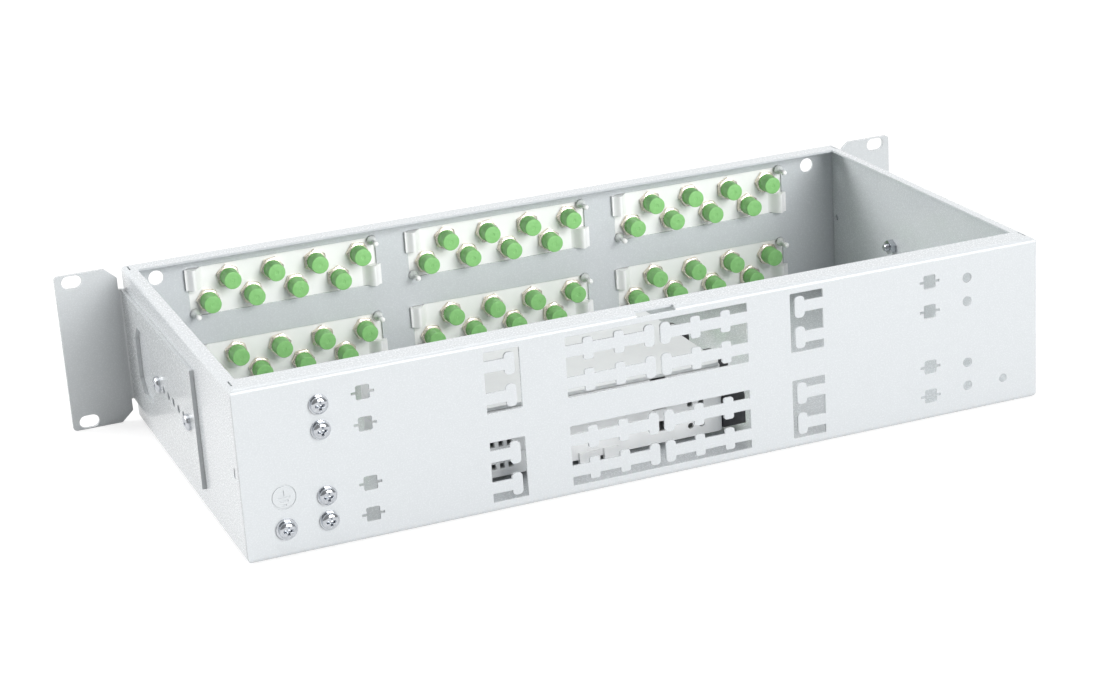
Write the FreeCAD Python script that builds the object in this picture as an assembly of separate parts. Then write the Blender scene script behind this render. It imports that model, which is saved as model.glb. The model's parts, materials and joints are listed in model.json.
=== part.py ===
import FreeCAD, Part
import math
import os

# Fibre patch panel, two rack units high, open at the top.
# Frame: +Z up, ports and rack ears at the front (-Y), cable entry wall at the rear (+Y).
# The origin lies in the middle of the underside. Left and right are as seen from the front.
# All sizes are in millimetres.

os.makedirs("parts", exist_ok=True)
V = FreeCAD.Vector

# Case: one folded steel sheet
BODY_W = 412.0
BODY_D = 214.0
BODY_H = 84.0
SHEET_T = 1.2
BEND_R = 2.5
RIM_REAR = 14.0
RIM_FRONT = 11.5
RIM_SIDE = 6.0
RIM_CORNER_R = 1.0
SEAM_GAP = 0.5
SEAM_TOP = 4.0
RELIEF_W = 0.8
RELIEF_L = 7.0
RELIEF_FROM_SIDE = 2.6
RELIEF_FROM_RIM = 1.0

# Lid latch slot across the rear top bend
LATCH_L = 20.0
LATCH_DEPTH = 4.2
LATCH_DROP = 2.0

# Cable entry rows in the rear wall
ENTRY_FROM_EDGE = 19.9
WINDOW_H = 30.0
WINDOW_R = 0.6
END_WINDOW_IN = 69.5
END_WINDOW_OUT = 87.1
MID_WINDOW_HALF = 46.7
TONGUE_DZ = 7.8
TONGUE_H = 5.6
HEAD_W = 5.2
HEAD_H = 10.9
HEAD_R = 2.0
END_HEAD_GAP = 2.5
MID_HEAD_GAP = 1.5
NUB_X = (19.6, 35.3)
NUB_W = 5.0
NUB_H = 10.9
NUB_R = 1.2
CROSS_FROM_CLAMP = 21.0
CROSS_DZ = 7.63
CROSS_W = 6.6
CROSS_H = 7.0
CROSS_R = 1.0
CROSS_SLOT_L = 2.2
CROSS_SLOT_H = 1.3
CLAMP_FROM_EARTH = 20.3
CLAMP_DZ = 6.1
CLAMP_HOLE_D = 5.0
EARTH_FROM_SIDE = 19.1
EARTH_HOLE_D = 4.4
EARTH_MARK_RISE = 15.4
EARTH_MARK_D = 12.0
EARTH_MARK_LINE = 0.8
EARTH_MARK_DEPTH = 0.35
EARTH_BARS = (6.4, 4.4, 2.4)
EARTH_BAR_STEP = 1.9
EARTH_STEM = 3.2

# Adapter plates in the front wall, two rows of three
PLATE_W = 112.0
PLATE_H = 31.6
PLATE_T = 1.6
PLATE_R = 2.0
PLATE_GAP = 9.0
PLATE_FROM_EDGE = 20.7
PLATE_LAP_X = 4.4
PLATE_LAP_Z = 2.6
PORT_R = 0.8
FRONT_HOLE_FROM_SIDE = 17.2
FRONT_HOLE_FROM_TOP = 9.5
FRONT_HOLE_D = 8.0

# Spring lugs that hook behind the front wall
LUG_FROM_EDGE = 8.2
LUG_OVERLAP = 1.5
LUG_NUT_CLEAR = 0.85
LUG_RISE = 4.6
LUG_CLEAR = 0.3
LUG_SIDE_CLEAR = 0.5
LUG_TIP_T = 1.6
LUG_BACK_SHARES = ((0.2, 0.3), (0.45, 0.88), (0.58, 1.0), (0.75, 0.8))

# Push rivets at the other two corners of a plate
RIVET_IN_X = 2.1
RIVET_IN_Z = 1.6
RIVET_SHANK_R = 2.0
RIVET_HOLE_R = 2.15
RIVET_NOTCH_R = 2.6
RIVET_HEAD_R = 3.0
RIVET_HEAD_T = 1.4
RIVET_HEAD_EDGE = 0.8
RIVET_BARB_R = 2.5
RIVET_BARB_L = 3.0
RIVET_NECK_R = 1.0
RIVET_TAIL = 6.6
RIVET_BALL_R = 1.45
RIVET_BALL_EDGE = 0.55
RIVET_TIP_SHARE = 0.9

# Threaded fibre adapters, eight to a plate in a zigzag
ADAPTER_FROM_EDGE = 10.0
ADAPTER_DZ = 5.6
ADAPTERS_IN_ROW = 4
BARREL_R = 4.0
BARREL_CLEAR = 0.1
FRONT_THREAD = 7.0
REAR_THREAD = 6.4
FLANGE_R = 6.4
FLANGE_T = 1.8
SOCKET_R = 3.0
SOCKET_DEPTH = 6.0
SLEEVE_R = 1.6
SLEEVE_BORE_R = 1.25
SLEEVE_CLEAR = 0.05
SLEEVE_L = 11.4
NUT_AF = 11.2
NUT_T = 2.6
NUT_TURN_DEGREES = (53.0, 30.0, 8.0, 41.0, 26.0, 3.0, 47.0, 53.0)
CAP_R = 4.7
CAP_BORE_R = 4.15
CAP_L = 8.0
CAP_END_T = 0.9
CAP_RIM_R = 4.95
CAP_RIM_T = 1.2
CAP_EDGE_R = 0.6
CAP_GAP = 0.2

# Rack ears: angle brackets screwed to the case sides.
# Their outer edges are 482.6 apart, and their slots 465.1 across and 76.2 upwards.
EAR_T = 2.0
EAR_FLANGE_W = 35.3
EAR_NECK_GAP = 1.2
EAR_CHAMFER_W = 6.2
EAR_CHAMFER_Z = 5.6
EAR_CORNER_R = 2.0
EAR_BEND_R = 3.0
EAR_PLATE_H = 60.0
EAR_DEPTH = 144.0
RACK_SLOT_FROM_EDGE = 8.75
RACK_SLOT_FROM_END = 3.9
RACK_SLOT_W = 10.5
RACK_SLOT_H = 7.0
EAR_HOLE_FROM_FRONT = 71.0
EAR_HOLE_PITCH = 10.0
EAR_HOLES = 7
EAR_HOLE_D = 4.4
EAR_WINDOW_FROM_FRONT = 25.0
EAR_WINDOW_L = 32.0
EAR_WINDOW_H = 36.0
EAR_WINDOW_CUT = 7.0
SIDE_HOLE_FROM_FRONT = 6.0
SIDE_HOLE_D = 3.4
TAB_SLOT_FROM_REAR = 8.2
TAB_SLOT_W = 1.8
TAB_SLOT_H = 5.0

# Small screws
SCREW_R = 2.0
SCREW_CLEAR = 0.05
SCREW_HEAD_R = 4.1
SCREW_HEAD_T = 2.6
SCREW_HEAD_EDGE = 1.5
SCREW_TIP = 0.5
RECESS_W = 0.95
RECESS_L = 4.6
RECESS_DEPTH = 1.3
EAR_SCREW_L = 9.0
CLAMP_SCREW_L = 9.0
EARTH_SCREW_L = 11.0
HEX_AF = 7.0
HEX_T = 3.2
WASHER_R = 4.7
WASHER_T = 0.8
EARTH_WASHER_R = 5.1
EARTH_WASHER_T = 1.0

# Strength member clamps inside the rear wall
CLAMP_W = 16.0
CLAMP_H = 24.0
CLAMP_T = 2.0
CLAMP_LEG = 28.0
CLAMP_BEND_R = 2.5
CLAMP_BAR_W = 14.0
CLAMP_BAR_L = 10.0
CLAMP_BAR_T = 2.0
CLAMP_BOLT_FROM_END = 8.0
CLAMP_BOLT_L = 8.0

# Splice trays, three in a leafing stack that stands on feet
TRAY_X0 = -46.5
TRAY_X1 = 112.0
TRAY_Y0 = -23.0
TRAY_Y1 = 77.0
TRAY_H = 11.0
TRAY_T = 1.6
TRAY_GAP = 0.3
TRAY_COUNT = 3
TRAY_R_HINGE = 4.0
TRAY_R_FREE = 14.0
TRAY_STAND = 3.2
TRAY_PITCH = TRAY_H + TRAY_GAP
TRAY_Z0 = SHEET_T + TRAY_STAND
FOOT_X = ((11.0, 18.6), (21.0, 31.6))
FOOT_RISE = 3.6
FOOT_OUT = 1.4
BOSS_R = 5.0
HUB_X = (-4.0, 76.0)
HUB_R = 16.0
HUB_T = 1.4
HUB_H = 7.5
COMB_X0 = 18.0
COMB_X1 = 54.0
COMB_RIBS = 13
COMB_PITCH = 3.6
COMB_T = 1.2
COMB_H = 6.0
ENTRY_NOTCH_X = (-12.0, 44.0, 94.0)
ENTRY_NOTCH_W = 8.0
ENTRY_NOTCH_DEPTH = 5.0
ENTRY_NOTCH_R = 1.0
PEG_HOLE_X = (-28.3, -34.3)
PEG_HOLE_D = 3.0
PEG_HOLE_Z = 5.6
TIE_SLOTS = 3
TIE_SLOT_X = 71.3
TIE_SLOT_PITCH = 4.3
TIE_SLOT_W = 2.4
TIE_SLOT_H = 2.8
TIE_SLOT_Z = 5.6
TIE_PAD_EDGE = 1.4
TIE_PAD_OUT = 0.8
TAB_X = (-31.0, 25.0, 83.0)
TAB_W = 8.0
TAB_REACH = 6.0
TAB_T = 1.2
STUD_R = 2.0
STUD_OVER = 1.0
COVER_T = 1.6
COVER_INSET = 0.4
COVER_LIP_H = 2.4
COVER_LIP_L = 12.0
COVER_LIP_T = 1.4
COVER_LIP_CLEAR = 0.35

# Hinge clips between the trays
HINGE_OUT = 8.4
HINGE_UP = 4.0
HINGE_PIN_R = 1.5
HINGE_CLEAR = 0.3
ARM_R = 4.0
ARM_W = 8.0
CHEEK_T = 3.0
CHEEK_GAP = 1.0
CLIP_FLOOR = 0.6
CLIP_ARM_CLEAR = 0.5
HINGE_Y = ((68.0, -14.0), (50.0, 4.0))

# Lengths that follow from the sizes above
REAR = BODY_D / 2
FRONT = -BODY_D / 2
SIDE = BODY_W / 2
MID_Z = BODY_H / 2
REAR_IN = REAR - SHEET_T
FRONT_IN = FRONT + SHEET_T
SIDE_IN = SIDE - SHEET_T
ROWS = (BODY_H - ENTRY_FROM_EDGE, ENTRY_FROM_EDGE)
EARTH_X = SIDE - EARTH_FROM_SIDE
EARTH_Z = ENTRY_FROM_EDGE - CLAMP_DZ
CLAMP_X = EARTH_X - CLAMP_FROM_EARTH
CROSS_X = CLAMP_X - CROSS_FROM_CLAMP
PLATE_FACE = FRONT - PLATE_T
PLATE_PITCH = PLATE_W + PLATE_GAP
PORT_W = PLATE_W - 2 * PLATE_LAP_X
PORT_H = PLATE_H - 2 * PLATE_LAP_Z
FRONT_HOLE_X = SIDE - FRONT_HOLE_FROM_SIDE
FRONT_HOLE_Z = BODY_H - FRONT_HOLE_FROM_TOP
ADAPTER_PITCH = (PORT_W / 2 - ADAPTER_FROM_EDGE) / ((2 * ADAPTERS_IN_ROW - 1) / 4)
ADAPTER_SHIFT = ADAPTER_PITCH / 4
LUG_FROM_MID = NUT_AF / math.sqrt(3) - ADAPTER_DZ + LUG_NUT_CLEAR
LUG_H = PORT_H / 2 - LUG_FROM_MID - LUG_CLEAR
EAR_OUTER_X = SIDE + EAR_FLANGE_W
EAR_NECK_X = SIDE + EAR_T + EAR_NECK_GAP
EAR_CHAMFER_X = EAR_NECK_X + EAR_CHAMFER_W
EAR_PLATE_BACK = FRONT + EAR_DEPTH
EAR_HOLE_Y0 = FRONT + EAR_HOLE_FROM_FRONT
EAR_WINDOW_Y0 = FRONT + EAR_WINDOW_FROM_FRONT
EAR_WINDOW_Y1 = EAR_WINDOW_Y0 + EAR_WINDOW_L
RACK_SLOT_X = EAR_OUTER_X - RACK_SLOT_FROM_EDGE
RACK_SLOT_DZ = MID_Z - RACK_SLOT_FROM_END
TRAY_MID_Y = (TRAY_Y0 + TRAY_Y1) / 2
OVER = 1.0


# Basic shapes

def outline(points, radii, place):
    """Closed wire through corner points, each corner rounded by its own radius."""
    count = len(points)
    if not isinstance(radii, (list, tuple)):
        radii = [radii] * count
    starts, ends, arcs = [], [], []
    for i in range(count):
        px, py = points[i]
        ax, ay = points[i - 1]
        bx, by = points[(i + 1) % count]
        la = math.hypot(ax - px, ay - py)
        lb = math.hypot(bx - px, by - py)
        ua = ((ax - px) / la, (ay - py) / la)
        ub = ((bx - px) / lb, (by - py) / lb)
        r = radii[i]
        if r <= 0:
            starts.append((px, py))
            ends.append((px, py))
            arcs.append(None)
            continue
        cosine = ua[0] * ub[0] + ua[1] * ub[1]
        half = math.acos(max(-1.0, min(1.0, cosine))) / 2
        run = r / math.tan(half)
        sx, sy = ua[0] + ub[0], ua[1] + ub[1]
        ls = math.hypot(sx, sy)
        cx = px + sx / ls * r / math.sin(half)
        cy = py + sy / ls * r / math.sin(half)
        reach = r / math.sin(half)
        mid = (cx + (px - cx) / reach * r, cy + (py - cy) / reach * r)
        starts.append((px + ua[0] * run, py + ua[1] * run))
        ends.append((px + ub[0] * run, py + ub[1] * run))
        arcs.append(mid)
    edges = []
    for i in range(count):
        if arcs[i] is not None:
            edges.append(Part.Arc(place(*starts[i]), place(*arcs[i]), place(*ends[i])).toShape())
        a = place(*ends[i])
        b = place(*starts[(i + 1) % count])
        if a.distanceToPoint(b) > 1e-6:
            edges.append(Part.makeLine(a, b))
    return Part.Wire(edges)


def prism(points, radii, plane, low, high):
    """Outline in a named plane, drawn out along the third axis from low to high."""
    places = {
        "xy": (lambda u, v: V(u, v, low), V(0, 0, high - low)),
        "xz": (lambda u, v: V(u, low, v), V(0, high - low, 0)),
        "yz": (lambda u, v: V(low, u, v), V(high - low, 0, 0)),
    }
    place, run = places[plane]
    return Part.Face(outline(points, radii, place)).extrude(run)


def rect(u0, u1, v0, v1):
    return [(u0, v0), (u1, v0), (u1, v1), (u0, v1)]


def box(x0, x1, y0, y1, z0, z1):
    low = V(min(x0, x1), min(y0, y1), min(z0, z1))
    return Part.makeBox(abs(x1 - x0), abs(y1 - y0), abs(z1 - z0), low)


def rod(at, direction, radius, length):
    return Part.makeCylinder(radius, length, V(*at), V(*direction))


def turned(profile, radii):
    """Ring or rod about the local Z axis from a profile of radius and height pairs."""
    wire = outline(profile, radii, lambda r, h: V(r, 0, h))
    return Part.Face(wire).revolve(V(0, 0, 0), V(0, 0, 1), 360)


def placed(shape, at, direction):
    """Copy of a local shape with its Z axis turned to a direction, and moved to a point."""
    turn = FreeCAD.Rotation(V(0, 0, 1), V(*direction))
    copy = shape.copy()
    copy.Placement = FreeCAD.Placement(V(*at), turn).multiply(copy.Placement)
    return copy


def turn_about_z(shape, degrees):
    copy = shape.copy()
    copy.rotate(V(0, 0, 0), V(0, 0, 1), degrees)
    return copy


def union(shapes):
    return shapes[0].multiFuse(shapes[1:]).removeSplitter()


def hexagon(across):
    radius = across / math.sqrt(3)
    return [(radius * math.cos(math.radians(60 * i)), radius * math.sin(math.radians(60 * i)))
            for i in range(6)]


def hex_nut(across, thick, bore):
    body = prism(hexagon(across), 0, "xy", 0, thick)
    return body.cut(rod((0, 0, -OVER), (0, 0, 1), bore, thick + 2 * OVER))


def pan_screw(length):
    """Cross-recess pan head screw: seat at Z 0, head above, shank below."""
    profile = [(0, -length), (SCREW_R - SCREW_TIP, -length), (SCREW_R, -length + SCREW_TIP),
               (SCREW_R, 0), (SCREW_HEAD_R, 0), (SCREW_HEAD_R, SCREW_HEAD_T), (0, SCREW_HEAD_T)]
    body = turned(profile, [0, 0, 0, 0, 0, SCREW_HEAD_EDGE, 0])
    low = SCREW_HEAD_T - RECESS_DEPTH
    high = SCREW_HEAD_T + OVER
    arm_a = box(-RECESS_L / 2, RECESS_L / 2, -RECESS_W / 2, RECESS_W / 2, low, high)
    arm_b = box(-RECESS_W / 2, RECESS_W / 2, -RECESS_L / 2, RECESS_L / 2, low, high)
    return body.cut(arm_a.fuse(arm_b))


def washer(radius, thick):
    return turned(rect(SCREW_R + SCREW_CLEAR, radius, 0, thick), 0)


def save(name, shape):
    shape.exportStep(os.path.join("parts", name + ".step"))


def save_group(name, shapes):
    save(name, Part.makeCompound(shapes))


# Places of the repeated pieces

def plate_places():
    """Name and centre of each adapter plate, from the front: left to right, top row first."""
    places = []
    for row, z in (("top", BODY_H - PLATE_FROM_EDGE), ("bottom", PLATE_FROM_EDGE)):
        for column, step in (("left", -1), ("middle", 0), ("right", 1)):
            places.append((row + "_" + column, step * PLATE_PITCH, z))
    return places


def adapter_offsets():
    """Eight places on a plate, the upper row shifted one way and the lower row the other."""
    offsets = []
    for dz, shift in ((ADAPTER_DZ, -ADAPTER_SHIFT), (-ADAPTER_DZ, ADAPTER_SHIFT)):
        for i in range(ADAPTERS_IN_ROW):
            offsets.append(((i - (ADAPTERS_IN_ROW - 1) / 2) * ADAPTER_PITCH + shift, dz))
    return offsets


def rivet_offsets():
    x = PORT_W / 2 - RIVET_IN_X
    z = PORT_H / 2 - RIVET_IN_Z
    return [(x, -z), (-x, z)]


def ear_screw_rows():
    return [EAR_HOLE_Y0, EAR_HOLE_Y0 + (EAR_HOLES - 1) * EAR_HOLE_PITCH]


def tray_z(level):
    return TRAY_Z0 + level * TRAY_PITCH


# Case

def end_window(side, z):
    """Window with two tongues that reach in from its outer edge."""
    low, high = z - WINDOW_H / 2, z + WINDOW_H / 2
    hole = prism(rect(*sorted((side * END_WINDOW_IN, side * END_WINDOW_OUT)), low, high),
                 WINDOW_R, "xz", REAR_IN - OVER, REAR + OVER)
    tip = END_WINDOW_IN + END_HEAD_GAP
    keep = []
    for dz in (TONGUE_DZ, -TONGUE_DZ):
        keep.append(box(side * tip, side * (END_WINDOW_OUT + OVER), REAR_IN - OVER, REAR + OVER,
                        z + dz - TONGUE_H / 2, z + dz + TONGUE_H / 2))
        keep.append(prism(rect(*sorted((side * tip, side * (tip + HEAD_W))),
                               z + dz - HEAD_H / 2, z + dz + HEAD_H / 2),
                          HEAD_R, "xz", REAR_IN - OVER, REAR + OVER))
    return hole.cut(keep)


def middle_window(z):
    """Wide window with two tongues from each end that nearly meet in the middle."""
    low, high = z - WINDOW_H / 2, z + WINDOW_H / 2
    hole = prism(rect(-MID_WINDOW_HALF, MID_WINDOW_HALF, low, high),
                 WINDOW_R, "xz", REAR_IN - OVER, REAR + OVER)
    keep = []
    for side in (1, -1):
        for dz in (TONGUE_DZ, -TONGUE_DZ):
            keep.append(box(side * (MID_HEAD_GAP + HEAD_R), side * (MID_WINDOW_HALF + OVER),
                            REAR_IN - OVER, REAR + OVER,
                            z + dz - TONGUE_H / 2, z + dz + TONGUE_H / 2))
            knobs = [(MID_HEAD_GAP, MID_HEAD_GAP + HEAD_W, HEAD_H, HEAD_R)]
            for x in NUB_X:
                knobs.append((x - NUB_W / 2, x + NUB_W / 2, NUB_H, NUB_R))
            for x0, x1, tall, radius in knobs:
                keep.append(prism(rect(*sorted((side * x0, side * x1)),
                                       z + dz - tall / 2, z + dz + tall / 2),
                                  radius, "xz", REAR_IN - OVER, REAR + OVER))
    return hole.cut(keep)


def cross_hole(x, z):
    hole = prism(rect(x - CROSS_W / 2, x + CROSS_W / 2, z - CROSS_H / 2, z + CROSS_H / 2),
                 CROSS_R, "xz", REAR_IN - OVER, REAR + OVER)
    wide = CROSS_W / 2 + CROSS_SLOT_L
    slot = box(x - wide, x + wide, REAR_IN - OVER, REAR + OVER,
               z - CROSS_SLOT_H / 2, z + CROSS_SLOT_H / 2)
    return hole.fuse(slot)


def rear_hole(x, z, diameter):
    return rod((x, REAR_IN - OVER, z), (0, 1, 0), diameter / 2, SHEET_T + 2 * OVER)


def earth_mark(x, z):
    """Shallow ring with the three-bar earth sign."""
    low, high = REAR - EARTH_MARK_DEPTH, REAR + OVER
    ring = rod((x, low, z), (0, 1, 0), EARTH_MARK_D / 2, high - low)
    ring = ring.cut(rod((x, low, z), (0, 1, 0), EARTH_MARK_D / 2 - EARTH_MARK_LINE, high - low))
    half = EARTH_MARK_LINE / 2
    lines = [box(x - half, x + half, low, high, z, z + EARTH_STEM)]
    for i, wide in enumerate(EARTH_BARS):
        level = z - i * EARTH_BAR_STEP
        lines.append(box(x - wide / 2, x + wide / 2, low, high, level - half, level + half))
    return [ring, union(lines)]


def plate_port(x, z):
    """Opening for one adapter plate, with round notches for its two rivets."""
    hole = prism(rect(x - PORT_W / 2, x + PORT_W / 2, z - PORT_H / 2, z + PORT_H / 2),
                 PORT_R, "xz", FRONT - OVER, FRONT_IN + OVER)
    notches = [rod((x + dx, FRONT - OVER, z + dz), (0, 1, 0), RIVET_NOTCH_R, SHEET_T + 2 * OVER)
               for dx, dz in rivet_offsets()]
    return hole.multiFuse(notches)


def folded_tub(inset):
    """Box with rounded folds along its top and bottom edges and square upright corners."""
    radius = BEND_R - inset
    across = prism(rect(-SIDE + inset, SIDE - inset, inset, BODY_H - inset),
                   radius, "xz", FRONT + inset, REAR - inset)
    along = prism(rect(FRONT + inset, REAR - inset, inset, BODY_H - inset),
                  radius, "yz", -SIDE + inset, SIDE - inset)
    return across.common(along)


def make_case():
    shell = folded_tub(0.0).cut(folded_tub(SHEET_T))
    cuts = [prism(rect(-SIDE + RIM_SIDE, SIDE - RIM_SIDE, FRONT + RIM_FRONT, REAR - RIM_REAR),
                  RIM_CORNER_R, "xy", BODY_H - SHEET_T - OVER, BODY_H + OVER)]
    for side in (1, -1):
        relief = side * (SIDE - RELIEF_FROM_SIDE)
        for end, rim in ((1, RIM_REAR), (-1, RIM_FRONT)):
            edge = end * BODY_D / 2
            inner = edge - end * SHEET_T
            cuts.append(box(side * (SIDE_IN - OVER), side * (SIDE + OVER), inner,
                            inner - end * SEAM_GAP, BEND_R, BODY_H - SEAM_TOP))
            start = edge - end * (rim - RELIEF_FROM_RIM)
            cuts.append(box(relief - RELIEF_W / 2, relief + RELIEF_W / 2, start,
                            start + end * RELIEF_L, BODY_H - SHEET_T - OVER, BODY_H + OVER))
        for z in ROWS:
            cuts.append(end_window(side, z))
            for dz in (CROSS_DZ, -CROSS_DZ):
                cuts.append(cross_hole(side * CROSS_X, z + dz))
            for dz in (CLAMP_DZ, -CLAMP_DZ):
                cuts.append(rear_hole(side * CLAMP_X, z + dz, CLAMP_HOLE_D))
        cuts.append(rear_hole(side * EARTH_X, EARTH_Z, EARTH_HOLE_D))
        cuts.append(rod((side * FRONT_HOLE_X, FRONT - OVER, FRONT_HOLE_Z), (0, 1, 0),
                        FRONT_HOLE_D / 2, SHEET_T + 2 * OVER))
        through = side * (SIDE_IN - OVER)
        for y in ear_screw_rows():
            cuts.append(rod((through, y, MID_Z), (side, 0, 0), EAR_HOLE_D / 2, SHEET_T + 2 * OVER))
        cuts.append(rod((through, FRONT + SIDE_HOLE_FROM_FRONT, MID_Z), (side, 0, 0), SIDE_HOLE_D / 2,
                        SHEET_T + 2 * OVER))
        tab = REAR - TAB_SLOT_FROM_REAR
        cuts.append(box(through, side * (SIDE + OVER), tab - TAB_SLOT_W / 2, tab + TAB_SLOT_W / 2,
                        MID_Z - TAB_SLOT_H / 2, MID_Z + TAB_SLOT_H / 2))
    for z in ROWS:
        cuts.append(middle_window(z))
    cuts.append(box(-LATCH_L / 2, LATCH_L / 2, REAR - LATCH_DEPTH, REAR + OVER,
                    BODY_H - LATCH_DROP, BODY_H + OVER))
    cuts += earth_mark(EARTH_X, EARTH_Z + EARTH_MARK_RISE)
    for _, x, z in plate_places():
        cuts.append(plate_port(x, z))
    for x in HUB_X:
        cuts.append(rod((x, TRAY_MID_Y, -OVER), (0, 0, 1), STUD_R + SCREW_CLEAR,
                        SHEET_T + 2 * OVER))
    return shell.cut(cuts)


# Rack ears

def make_ear(side):
    """Angle bracket: slotted rack flange, and a side plate with a window and a row of holes."""
    bend = [(SIDE, EAR_PLATE_BACK), (SIDE, FRONT), (EAR_OUTER_X, FRONT),
            (EAR_OUTER_X, FRONT + EAR_T), (SIDE + EAR_T, FRONT + EAR_T),
            (SIDE + EAR_T, EAR_PLATE_BACK)]
    angle = prism(bend, [0, EAR_BEND_R, 0, 0, EAR_BEND_R - EAR_T, 0], "xy", 0, BODY_H)
    low, high = MID_Z - EAR_PLATE_H / 2, MID_Z + EAR_PLATE_H / 2
    face = [(SIDE - OVER, low), (EAR_NECK_X, low), (EAR_NECK_X, EAR_CHAMFER_Z),
            (EAR_CHAMFER_X, 0), (EAR_OUTER_X, 0), (EAR_OUTER_X, BODY_H), (EAR_CHAMFER_X, BODY_H),
            (EAR_NECK_X, BODY_H - EAR_CHAMFER_Z), (EAR_NECK_X, high), (SIDE - OVER, high)]
    corners = [0, 0, 0, 0, EAR_CORNER_R, EAR_CORNER_R, 0, 0, 0, 0]
    ear = angle.common(prism(face, corners, "xz", FRONT - OVER, EAR_PLATE_BACK + OVER))
    cuts = []
    for dz in (RACK_SLOT_DZ, -RACK_SLOT_DZ):
        cuts.append(prism(rect(RACK_SLOT_X - RACK_SLOT_W / 2, RACK_SLOT_X + RACK_SLOT_W / 2,
                               MID_Z + dz - RACK_SLOT_H / 2, MID_Z + dz + RACK_SLOT_H / 2),
                          RACK_SLOT_H / 2, "xz", FRONT - OVER, FRONT + EAR_T + OVER))
    low, high = MID_Z - EAR_WINDOW_H / 2, MID_Z + EAR_WINDOW_H / 2
    cut = EAR_WINDOW_CUT
    window = [(EAR_WINDOW_Y0 + cut, low), (EAR_WINDOW_Y1 - cut, low), (EAR_WINDOW_Y1, low + cut),
              (EAR_WINDOW_Y1, high - cut), (EAR_WINDOW_Y1 - cut, high),
              (EAR_WINDOW_Y0 + cut, high), (EAR_WINDOW_Y0, high - cut), (EAR_WINDOW_Y0, low + cut)]
    cuts.append(prism(window, EAR_CORNER_R, "yz", SIDE - OVER, SIDE + EAR_T + OVER))
    for i in range(EAR_HOLES):
        cuts.append(rod((SIDE - OVER, EAR_HOLE_Y0 + i * EAR_HOLE_PITCH, MID_Z), (1, 0, 0),
                        EAR_HOLE_D / 2, EAR_T + 2 * OVER))
    ear = ear.cut(cuts)
    if side < 0:
        ear = ear.mirror(V(0, 0, 0), V(1, 0, 0))
    return ear


def ear_fasteners():
    screw = pan_screw(EAR_SCREW_L)
    nut = hex_nut(HEX_AF, HEX_T, SCREW_R + SCREW_CLEAR)
    screws, nuts = [], []
    for side in (1, -1):
        for y in ear_screw_rows():
            screws.append(placed(screw, (side * (SIDE + EAR_T), y, MID_Z), (side, 0, 0)))
            nuts.append(placed(nut, (side * (SIDE_IN - HEX_T), y, MID_Z), (side, 0, 0)))
    return screws, nuts


# Adapter plates and what they carry

def lug(x, z, sign):
    """Spring hook with an S-shaped back that reaches behind the edge of the opening."""
    edge = PORT_W / 2
    start = edge - LUG_FROM_EDGE
    tip = edge + LUG_OVERLAP
    inner = edge - LUG_SIDE_CLEAR
    behind = FRONT_IN + LUG_CLEAR
    crest = FRONT_IN + LUG_RISE

    def at(u, y):
        return V(x + sign * u, y, z)

    knots = [(start, FRONT)]
    for along, up in LUG_BACK_SHARES:
        knots.append((start + along * (tip - start), FRONT + up * (crest - FRONT)))
    knots.append((tip, behind + LUG_TIP_T))
    back = Part.BSplineCurve()
    back.interpolate([at(u, y) for u, y in knots])
    corners = [at(*knots[-1]), at(tip, behind), at(inner, behind), at(inner, FRONT), at(*knots[0])]
    edges = [back.toShape()]
    for a, b in zip(corners, corners[1:]):
        edges.append(Part.makeLine(a, b))
    face = Part.Face(Part.Wire(edges))
    start_z = LUG_FROM_MID if sign > 0 else -LUG_FROM_MID - LUG_H
    face.translate(V(0, 0, start_z))
    return face.extrude(V(0, 0, LUG_H))


def make_plate(x, z):
    sheet = prism(rect(x - PLATE_W / 2, x + PLATE_W / 2, z - PLATE_H / 2, z + PLATE_H / 2),
                  PLATE_R, "xz", PLATE_FACE, FRONT)
    holes = [rod((x + dx, PLATE_FACE - OVER, z + dz), (0, 1, 0), BARREL_R + BARREL_CLEAR,
                 PLATE_T + 2 * OVER) for dx, dz in adapter_offsets()]
    holes += [rod((x + dx, PLATE_FACE - OVER, z + dz), (0, 1, 0), RIVET_HOLE_R,
                  PLATE_T + 2 * OVER) for dx, dz in rivet_offsets()]
    return union([sheet.cut(holes), lug(x, z, 1), lug(x, z, -1)])


def make_adapter():
    """Two halves pressed together at local Z 0, the seat of the flange on the plate."""
    front = -FLANGE_T - FRONT_THREAD
    rear = PLATE_T + NUT_T + REAR_THREAD
    web = SLEEVE_R + SLEEVE_CLEAR
    flanged = [(web, 0), (web, front + SOCKET_DEPTH), (SOCKET_R, front + SOCKET_DEPTH),
               (SOCKET_R, front), (BARREL_R, front), (BARREL_R, -FLANGE_T),
               (FLANGE_R, -FLANGE_T), (FLANGE_R, 0)]
    barrel = [(web, 0), (BARREL_R, 0), (BARREL_R, rear), (SOCKET_R, rear),
              (SOCKET_R, rear - SOCKET_DEPTH), (web, rear - SOCKET_DEPTH)]
    return turned(flanged, 0), turned(barrel, 0)


def make_sleeve():
    middle = (PLATE_T + NUT_T + REAR_THREAD - FLANGE_T - FRONT_THREAD) / 2
    return turned(rect(SLEEVE_BORE_R, SLEEVE_R, middle - SLEEVE_L / 2, middle + SLEEVE_L / 2), 0)


def make_cap():
    """Dust cap: open end at local Z 0, closed end above."""
    profile = [(CAP_BORE_R, 0), (CAP_RIM_R, 0), (CAP_RIM_R, CAP_RIM_T), (CAP_R, CAP_RIM_T),
               (CAP_R, CAP_L), (0, CAP_L), (0, CAP_L - CAP_END_T), (CAP_BORE_R, CAP_L - CAP_END_T)]
    return turned(profile, [0, 0, 0, 0, CAP_EDGE_R, 0, 0, 0])


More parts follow.
